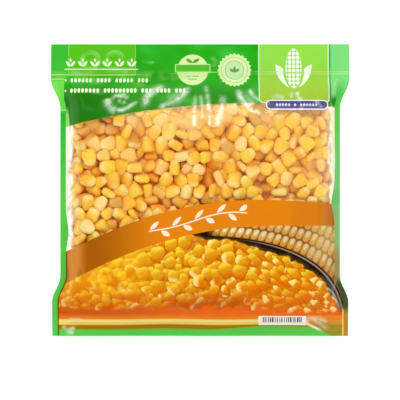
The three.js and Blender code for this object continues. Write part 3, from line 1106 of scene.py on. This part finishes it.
def glossy_print(name, parts, gloss):
    """Printed film: the drawn colour under a smooth gloss with the film's fine unevenness."""
    material, tree, place, _, _ = new_material(name)
    colour = (0.0, 0.0, 0.0)
    for part in parts:
        colour = part(tree, colour)
    # Painted highlights along the folds, laid over the print
    colour = paint(tree, colour, shade("#e6f8dc"), glints(tree, place) * 0.9)
    worn = cloud(tree, place, 15 * MM, 3)
    fine = cloud(tree, place, 2.4 * MM, 3)
    show_principled(
        tree,
        Base_Color=colour,
        Roughness=worn * 0.16 + 0.1,
        IOR=1.5,
        Specular_IOR_Level=gloss,
        Normal=bump(tree, fine, 0.12 * MM, 0.5),
    )
    return material


@part_of_print
def small_lines(tree, _, x, y, colour, _colours):
    """Nine rows of plain bars on the back."""
    for row in range(9):
        bars = words(x, y, -68, 34 - 10 * row, 2.2, (40 - 3 * (row % 3), 28, 34 + 3 * (row % 2)), 6)
        colour = paint(tree, colour, shade("#5c7a44"), bars * 0.7)
    return colour


@part_of_print
def back_print(tree, place, x, y, _, colours):
    """The underside: green all over, with a plain pale panel of bars and the lime panel in the corner."""
    tone = cloud(tree, place, 26 * MM, 1).climb(0.45, 0.7)
    green = paint(tree, colours.header[:], shade("#3fcb3f"), tone)
    green = paint(tree, green, colours.shoulder[:], (1 - tone) * (abs(y).climb(95 * MM, 30 * MM)) * 0.5)
    panel = rounded(x, y, (-76 * MM, -62 * MM), (76 * MM, 44 * MM), 5 * MM)
    colour = small_lines(tree, paint(tree, green, shade("#f4fbe0"), panel.above()))
    lime = rounded(x, y, (-86.2 * MM, 58 * MM), (-39 * MM, 140 * MM), 3.2 * MM)
    colour = paint(tree, colour, colours.panel[:], lime.above())
    colour = paint(tree, colour, shade("#fbfff2"), ring(lime, 0.7 * MM) * 0.85)
    colour = paint(tree, colour, colours.seal[:], (-90 * MM - y).above())
    strip = (STRIP - outline_field(y) + abs(x)).above()
    return paint(tree, colour, colours.seal[:], strip)


# The printed film's materials in the order of their slots: the parts drawn, and how strong the gloss is
PRINTS = [
    ("header_print", (header, side_strips), 0.07),
    ("back_print", (back_print,), 0.2),
    ("lower_print", (picture, foot_bands, bar_label, band, side_strips), 0.03),
]


def clear_film():
    """The window's film: see-through and glossy, hazy at its sides and under the header with frost and a
    painted glare, with painted highlights along its folds and a faint painted glow in its haze.
    """
    material, tree, place, x, y = new_material("clear_film")
    colours = settings().colours
    top_line = window_lines(x)[0]
    patches = cloud(tree, place, 22 * MM, 3)
    # Haze at the sides: frost, and a painted glare where the film slopes steeply
    ragged = (cloud(tree, place, 7 * MM, 2) - MIDDLE) * (9 * MM) - x.above() * (0.4 * MM)
    side = (abs(x) + ragged).climb(82 * MM, 88.5 * MM) ** 1.6 * 0.92
    # Haze under the header: frost, and a painted sheen of the lights
    middle = (1 - (abs(x - 5 * MM) / (60 * MM)).climb(0.3, 1)) * 0.8 + 0.2
    under = (1 - (top_line - y).climb(4 * MM, 26 * MM)) * patches.climb(0.3, 0.65) * middle * 0.58
    frost = patches.climb(0.5, 0.8) * 0.22 + x.climb(0, 75 * MM) * 0.08
    glare = glints(tree, place) * 0.85
    white = side.most(glare)
    haze = (white + under + frost).least(0.95)
    pure = paint(tree, shade("#fffcf2"), shade("#fff0d0"), (x + 60 * MM).climb(0, 40 * MM) * 0.9)
    # The haze's colour, paler where the side haze and the painted glare are strongest
    pale_veil = paint(tree, shade("#ffe294"), pure, white.climb(0.1, 0.5))
    colour, pill = violet_pill(tree, x, y, pale_veil, colours)
    colour = paint(tree, colour, shade("#f4f2fc"), glare * pill * 0.6)
    hazy = add_shader(
        tree,
        "ShaderNodeBsdfPrincipled",
        Base_Color=colour,
        Roughness=0.45,
        IOR=1.45,
        Specular_IOR_Level=0.2,
        # A faint painted glow in the haze's own colour
        Emission_Color=colour,
        Emission_Strength=0.2,
    )
    open_film = add_shader(tree, "ShaderNodeBsdfTransparent", Color=(1.0, 0.995, 0.985))
    fine = bump(tree, cloud(tree, place, 2.4 * MM, 3), 0.12 * MM, 0.4)
    gloss = add_shader(tree, "ShaderNodeBsdfGlossy", Color=(1.0, 1.0, 1.0), Roughness=0.09, Normal=fine)
    facing = tree.nodes.new("ShaderNodeLayerWeight")
    facing.inputs["Blend"].default_value = 0.5
    mirrored = Field(tree, facing.outputs["Facing"]) ** 5.0 * 0.9 + 0.022
    body = tree.nodes.new("ShaderNodeMixShader")
    plug(tree, body.inputs[0], haze.most(pill))
    tree.links.new(open_film.outputs[0], body.inputs[1])
    tree.links.new(hazy.outputs[0], body.inputs[2])
    whole = tree.nodes.new("ShaderNodeMixShader")
    plug(tree, whole.inputs[0], mirrored)
    tree.links.new(body.outputs[0], whole.inputs[1])
    tree.links.new(gloss.outputs[0], whole.inputs[2])
    show(tree, whole)
    return material


def sweetcorn():
    """Kernels: satin and a little translucent, deeper or paler one by one, and pale at the tip, with
    painted shade on those that lie deep and a faint painted glow.
    """
    material, tree, place, *_ = new_material("sweetcorn")
    colours = settings().colours
    tint = attribute(tree, "tint")
    tip = attribute(tree, "tip")
    mottle = cloud(tree, place, 4 * MM, 3)
    colour = paint(tree, colours.kernel[:], colours.kernel_deep[:], tint.climb(0.3, 0.8))
    colour = paint(tree, colour, colours.kernel_pale[:], tint.climb(0.8, 0.92) * 0.75)
    colour = paint(tree, colour, shade("#c98a48"), (0.04 - tint).climb(0, 0.02) * 0.7)
    colour = paint(tree, colour, colours.kernel_pale[:], tip.climb(0.55, 1) * 0.75)
    colour = paint(tree, colour, shade("#ffd45a"), mottle.climb(0.5, 0.8) * 0.5)
    # Painted shade: a deeper orange on kernels that lie deep under the film
    colour = paint(tree, colour, shade("#e98f0e"), attribute(tree, "depth_shade") * 0.85)
    show_principled(
        tree,
        Base_Color=colour,
        Roughness=mottle * 0.2 + 0.32,
        IOR=1.4,
        Specular_IOR_Level=0.35,
        Subsurface_Weight=0.3,
        Subsurface_Radius=(1.0, 0.55, 0.12),
        Subsurface_Scale=3 * MM,
        # A faint painted glow in the kernels' own colour, which warms their shaded gaps
        Emission_Color=colour,
        Emission_Strength=0.03,
        Normal=bump(tree, mottle, 0.3 * MM, 0.35),
    )
    return material


def attribute(tree, name):
    node = tree.nodes.new("ShaderNodeAttribute")
    node.attribute_name = name
    return Field(tree, node.outputs["Fac"])


def kernel_bed():
    """What shows between the kernels: more of them in shadow."""
    material, tree, place, *_ = new_material("kernel_bed")
    far, _, _, own, _ = pictured(tree, place, 9 * MM, 0, (0.55, 0.5), 0, 3)
    colour = paint(tree, shade("#e8881c"), shade("#f4a838"), own)
    colour = paint(tree, colour, shade("#b8600c"), far.climb(0.6, 1.2))
    show_principled(
        tree,
        Base_Color=colour,
        Roughness=0.5,
        # A painted warm glow, which lifts the shade in the gaps
        Emission_Color=shade("#e88a1c"),
        Emission_Strength=0.12,
    )
    return material


# Kernels


# A linear congruential generator
MULTIPLIER = 1664525
INCREMENT = 1013904223
MODULUS = 2**32


def seeded_draws(seed):
    """A stream of numbers from 0 to 1 that is the same each time."""
    state = seed

    def draw():
        nonlocal state
        state = (state * MULTIPLIER + INCREMENT) % MODULUS
        return state / MODULUS

    return draw


KERNEL_SIDES = 12
KERNEL_RINGS = 6
CROWN_DENT = 0.5 * MM
# What a kernel's look comes from: how near its tip a place is, the kernel's own tint, and the painted shade
# of its depth
KERNEL_VALUES = ("tip", "tint", "depth_shade")


def kernel_mesh():
    """An empty bmesh that holds the kernels' values at its vertices."""
    bm = bmesh.new()
    for name in KERNEL_VALUES:
        bm.verts.layers.float.new(name)
    return bm


def kernel_form(blunt, taper, flat):
    """A kernel about the origin with its crown at +Y, as a mesh that keeps how near its tip is."""
    sizes = settings().sizes
    body = kernel_mesh()
    tip = body.verts.layers.float["tip"]
    bmesh.ops.create_uvsphere(body, u_segments=KERNEL_SIDES, v_segments=KERNEL_RINGS, radius=1)
    bmesh.ops.rotate(body, verts=body.verts, matrix=Matrix.Rotation(math.pi / 2, 3, "X"))
    for vert in body.verts:
        x, y, z = (math.copysign(abs(value) ** blunt, value) for value in vert.co)
        vert[tip] = (1 - y) / 2
        vert.co.x = x * (1 + taper * y) * sizes.kernel_width / 2
        vert.co.y = y * sizes.kernel_length / 2
        vert.co.z = z * (1 + 0.5 * taper * y) * flat * sizes.kernel_thickness / 2
        if y > 0.99:
            vert.co.y -= CROWN_DENT
    for face in body.faces:
        face.smooth = True
    form = bpy.data.meshes.new("kernel_form")
    body.to_mesh(form)
    body.free()
    return form


# Kernels in a layer: rows by the pitch, how far each is shaken, its room, and rounds of pushing apart
ROW_PITCH = 0.87
SHAKE = 0.32
ROOM = (0.82, 0.3)
PUSHES = 12


def scatter(draw, pitch, lowest, highest, side):
    """Places in staggered rows, shaken and then pushed apart until they are about a pitch apart."""
    row_pitch = ROW_PITCH * pitch
    rows = int((highest - lowest) / row_pitch) + 1
    columns = int(side / pitch) + 1
    places = []
    for row in range(rows):
        for column in range(-columns, columns + 1):
            x = (column + row % 2 / 2) * pitch + (2 * draw() - 1) * SHAKE * pitch
            y = lowest + row * row_pitch + (2 * draw() - 1) * SHAKE * pitch
            places.append((x, y))
    places = np.array(places)
    room = pitch * np.array([ROOM[0] + ROOM[1] * draw() for _ in places])
    for _ in range(PUSHES):
        apart = places[:, None] - places[None]
        gaps = np.linalg.norm(apart, axis=2) + np.eye(len(places))
        wanted = (room[:, None] + room[None]) / 2
        push = np.clip(wanted - gaps, 0, None) * (1 - np.eye(len(places)))
        places = places + 0.25 * (apart / gaps[..., None] * push[..., None]).sum(1)
    return places, room / pitch


def film_normal(x, y):
    """The direction square to the film at a place."""
    step = 0.5 * MM
    across = (front_height(x + step, y) - front_height(x - step, y)) / (2 * step)
    along = (front_height(x, y + step) - front_height(x, y - step)) / (2 * step)
    return Vector((-across, -along, 1)).normalized()


# Layers of kernels from the top: the seed of the draws, how deep the layer lies, how much deeper a
# kernel in it can lie, the pitch as a share of the setting's, and the share left out
LAYERS = [
    {"seed": SEED, "depth": 0.0, "lift": 3.0 * MM, "pitch": 0.97, "left_out": 0.19},
    {"seed": SEED + 7, "depth": 3.7 * MM, "lift": 1.8 * MM, "pitch": 1.0, "left_out": 0},
    {"seed": SEED + 13, "depth": 8.8 * MM, "lift": 1.0 * MM, "pitch": 1.08, "left_out": 0},
]
# Kinds of kernel: how blunt it is, with 1 for round, how much it tapers, and its relative thickness
KERNEL_KINDS = [(0.55, 0.2, 1.0), (0.66, 0.28, 0.86), (0.5, 0.1, 1.12), (0.78, 0.18, 0.95)]
# How far a kernel can lean and nod in radians, and the share of them that lie on their sides
LEAN = 0.65
NOD = 0.6
ON_ITS_SIDE = 0.27
# The rows' reach up the front, and how far past the window and the side seals a kernel can start
HEAP_SPAN = (-48 * MM, 66 * MM)
WINDOW_MARGIN = 9 * MM
SIDE_MARGIN = 3 * MM
# Gaps that keep the kernels inside the film, and how much the heap is drawn in from the sides
FILM_GAP = 0.2 * MM
EDGE_GAP = 1 * MM
SIDE_SQUEEZE = 0.975
# How far under the film a kernel starts to take the painted shade of depth, and where it takes it fully
SHADED = (1.2 * MM, 7 * MM)


def kernel_layer(heap, forms, layer):
    """Adds one layer of kernels to the heap, a little way under the film."""
    draw = seeded_draws(layer["seed"])
    pitch = settings().sizes.kernel_pitch * layer["pitch"]
    side = WAIST_WIDTH / 2 - SIDE_SEAL
    places, scale = scatter(draw, pitch, *HEAP_SPAN, side + pitch)
    for (x, y), size in zip(places, scale):
        lean = (2 * draw() - 1) * LEAN
        nod = (2 * draw() - 1) * NOD
        turn = draw() * 2 * math.pi
        form, points = forms[int(draw() * len(forms))]
        own = draw()
        lift = draw() ** 2 * layer["lift"]
        if draw() < ON_ITS_SIDE:
            lean += math.pi / 2
        near = window_foot(x) - WINDOW_MARGIN < y < window_top(x) + WINDOW_MARGIN
        if draw() < layer["left_out"] or not near or abs(x) >= side + SIDE_MARGIN:
            continue
        x = min(max(x, -side), side)
        turned_points = points @ np.array(Euler((nod, lean, turn)).to_matrix()).T * size
        normal = film_normal(x, y)
        stand = np.array(Vector((0, 0, 1)).rotation_difference(normal).to_matrix())
        depth = turned_points[:, 2].max() + layer["depth"] + lift
        middle = Vector((x, y, front_height(x, y))) - normal * depth
        placed = turned_points @ stand.T + (x * SIDE_SQUEEZE, middle.y, middle.z)
        reach = half_width(placed[:, 1]) - SIDE_SEAL - EDGE_GAP
        placed[:, 0] = np.clip(placed[:, 0], -reach, reach)
        low = back_height(placed[:, 0], placed[:, 1]) + FILM_GAP
        slack = FILM_GAP - EDGE_GAP * (1 - fullness(placed[:, 0], placed[:, 1]))
        high = front_height(placed[:, 0], placed[:, 1]) + slack
        placed[:, 2] = np.clip(placed[:, 2], low, np.maximum(high, low))
        form.vertices.foreach_set("co", placed.ravel())
        form.attributes["tint"].data.foreach_set("value", np.full(len(placed), own))
        form.attributes["depth_shade"].data.foreach_set("value", ramp(*SHADED, high - placed[:, 2]))
        heap.from_mesh(form)


class CornBagFilm(bpy.types.Operator):
    """Makes the printed film and the clear window from one closed pouch."""

    bl_idname = "corn_bag.film"
    bl_label = "Film"

    def execute(self, context):
        shell = pouch()
        window = shell.copy()
        keep_slots(shell, [HEADER_SLOT, BACK_SLOT, LOWER_SLOT])
        keep_slots(window, [WINDOW_SLOT])
        prints = [glossy_print(*look) for look in PRINTS]
        finish_piece(shell, "printed_film", prints)
        finish_piece(window, "window_film", [clear_film()])
        return {"FINISHED"}


class CornBagKernels(bpy.types.Operator):
    """Makes three layers of loose kernels under the window."""

    bl_idname = "corn_bag.kernels"
    bl_label = "Kernels"

    def execute(self, context):
        heap = kernel_mesh()
        forms = []
        for kind in KERNEL_KINDS:
            form = kernel_form(*kind)
            forms.append((form, np.array([vert.co for vert in form.vertices])))
        for layer in LAYERS:
            kernel_layer(heap, forms, layer)
        for form, _ in forms:
            bpy.data.meshes.remove(form)
        finish_piece(heap, "kernels", [sweetcorn()])
        return {"FINISHED"}


# The bed: its columns and rows, where its middle lies up the front and its half length, its gap to the
# side seals and to the back, its least thickness, and the height and size of the humps on it
BED_GRID = (90, 60)
BED_MIDDLE = 8 * MM
BED_HALF_LENGTH = 58 * MM
BED_SIDE_GAP = 0.5 * MM
BED_BACK_GAP = 0.4 * MM
BED_THICKNESS = 0.5 * MM
BED_HUMPS = 1.2 * MM
BED_HUMP_SIZE = 7 * MM


class CornBagBed(bpy.types.Operator):
    """Makes the bed that the kernels lie on, which closes the gaps between them."""

    bl_idname = "corn_bag.bed"
    bl_label = "Kernel Bed"

    depth: length_setting("Depth", "How far the bed lies under the film", 12 * MM)

    def execute(self, context):
        bed = double_grid(*BED_GRID)
        for vert in bed.verts:
            x = vert.co.x * (WAIST_WIDTH / 2 - SIDE_SEAL - BED_SIDE_GAP)
            y = BED_MIDDLE + vert.co.y * BED_HALF_LENGTH
            low = back_height(x, y) + BED_BACK_GAP
            relief = BED_HUMPS * noise.noise(Vector((x, y, 0)) / BED_HUMP_SIZE)
            high = max(low + BED_THICKNESS, front_height(x, y) - self.depth + relief)
            vert.co = (x, y, high if vert.co.z > 0.5 else low)
        bmesh.ops.recalc_face_normals(bed, faces=list(bed.faces))
        finish_piece(bed, "kernel_bed", [kernel_bed()])
        return {"FINISHED"}


# Stage: camera straight above the bag, soft lights round it, and a plain floor

CAMERA_LENS = 250
SENSOR = 36
CAMERA_REACH = 10
VIEW_WIDTH = 267.7 * MM
VIEW_CENTRE = (-0.1 * MM, -6.7 * MM)
LIGHTS = [
    {"name": "upper_left_light", "from": (-1.0, 1.0, 1.1), "size": (1.3, 1.3), "power": 14.2},
    {"name": "upper_right_light", "from": (1.1, 0.7, 1.1), "size": (1.3, 1.3), "power": 12.5},
    {"name": "lower_light", "from": (-0.1, -1.3, 1.0), "size": (1.4, 1.2), "power": 13.5},
    {"name": "glint_light", "from": (0.02, 0.85, 1.15), "size": (0.14, 0.5), "power": 1.7},
]
WORLD_LIGHT = 0.26
FLOOR_HALF = 3
FLOOR_GLOW = 0.4
FLOOR_GAP = 0.1 * MM


def add_light(name, place, size, power):
    data = bpy.data.lights.new(name, "AREA")
    data.shape = "RECTANGLE"
    data.size, data.size_y = size
    data.energy = power
    light = bpy.data.objects.new(name, data)
    light.location = place
    light.rotation_euler = Vector(place).to_track_quat("Z", "Y").to_euler()
    bpy.context.scene.collection.objects.link(light)


def add_floor():
    flat = bmesh.new()
    bmesh.ops.create_grid(flat, x_segments=1, y_segments=1, size=FLOOR_HALF)
    bmesh.ops.translate(flat, verts=flat.verts, vec=(0, 0, -FLOOR_GAP))
    mesh = bpy.data.meshes.new("floor")
    flat.to_mesh(mesh)
    flat.free()
    floor = bpy.data.objects.new("floor", mesh)
    bpy.context.scene.collection.objects.link(floor)
    material, tree, *_ = new_material("floor")
    show_principled(
        tree,
        Base_Color=(0.98, 0.98, 0.98),
        Roughness=0.9,
        Emission_Color=(1.0, 1.0, 1.0),
        Emission_Strength=FLOOR_GLOW,
    )
    mesh.materials.append(material)


def add_world():
    world = bpy.data.worlds.new("studio")
    world.use_nodes = True
    sky = world.node_tree.nodes["Background"]
    sky.inputs["Color"].default_value = (1, 1, 1, 1)
    sky.inputs["Strength"].default_value = WORLD_LIGHT
    bpy.context.scene.world = world


def add_camera():
    """A camera straight above the bag, so far off that the view is the given width."""
    data = bpy.data.cameras.new("camera")
    data.lens = CAMERA_LENS
    data.sensor_width = SENSOR
    data.clip_end = CAMERA_REACH
    camera = bpy.data.objects.new("camera", data)
    away = VIEW_WIDTH * CAMERA_LENS / SENSOR
    camera.location = (*VIEW_CENTRE, SEAM_Z + away)
    bpy.context.scene.collection.objects.link(camera)
    bpy.context.scene.camera = camera


class CornBagStage(bpy.types.Operator):
    """Makes the floor, the lights and the camera."""

    bl_idname = "corn_bag.stage"
    bl_label = "Stage"

    def execute(self, context):
        add_floor()
        for light in LIGHTS:
            add_light(light["name"], light["from"], light["size"], light["power"])
        add_world()
        context.scene.view_settings.view_transform = "Standard"
        add_camera()
        return {"FINISHED"}


class CornBagPanel(bpy.types.Panel):
    """Lists the steps that build the bag, with its sizes and colours."""

    bl_idname = "VIEW3D_PT_corn_bag"
    bl_label = "Frozen Sweetcorn Bag"
    bl_space_type = "VIEW_3D"
    bl_region_type = "UI"
    bl_category = "Corn Bag"

    def draw(self, context):
        for step in STEPS:
            self.layout.operator(step.bl_idname)
        for group in (settings().sizes, settings().colours):
            column = self.layout.column(align=True)
            for name in group.__annotations__:
                column.prop(group, name)


STEPS = (CornBagFilm, CornBagKernels, CornBagBed, CornBagStage)
CLASSES = (CornBagColours, CornBagSizes, CornBagSettings, *STEPS, CornBagPanel)


def register():
    for item in CLASSES:
        bpy.utils.register_class(item)
    bpy.types.Scene.corn_bag = bpy.props.PointerProperty(
        name="Corn Bag", description="Settings of the sweetcorn bag", type=CornBagSettings
    )


def unregister():
    del bpy.types.Scene.corn_bag
    for item in reversed(CLASSES):
        bpy.utils.unregister_class(item)


def main():
    register()
    bpy.ops.corn_bag.film()
    bpy.ops.corn_bag.kernels()
    bpy.ops.corn_bag.bed()
    bpy.ops.corn_bag.stage()


if __name__ == "__main__":
    main()
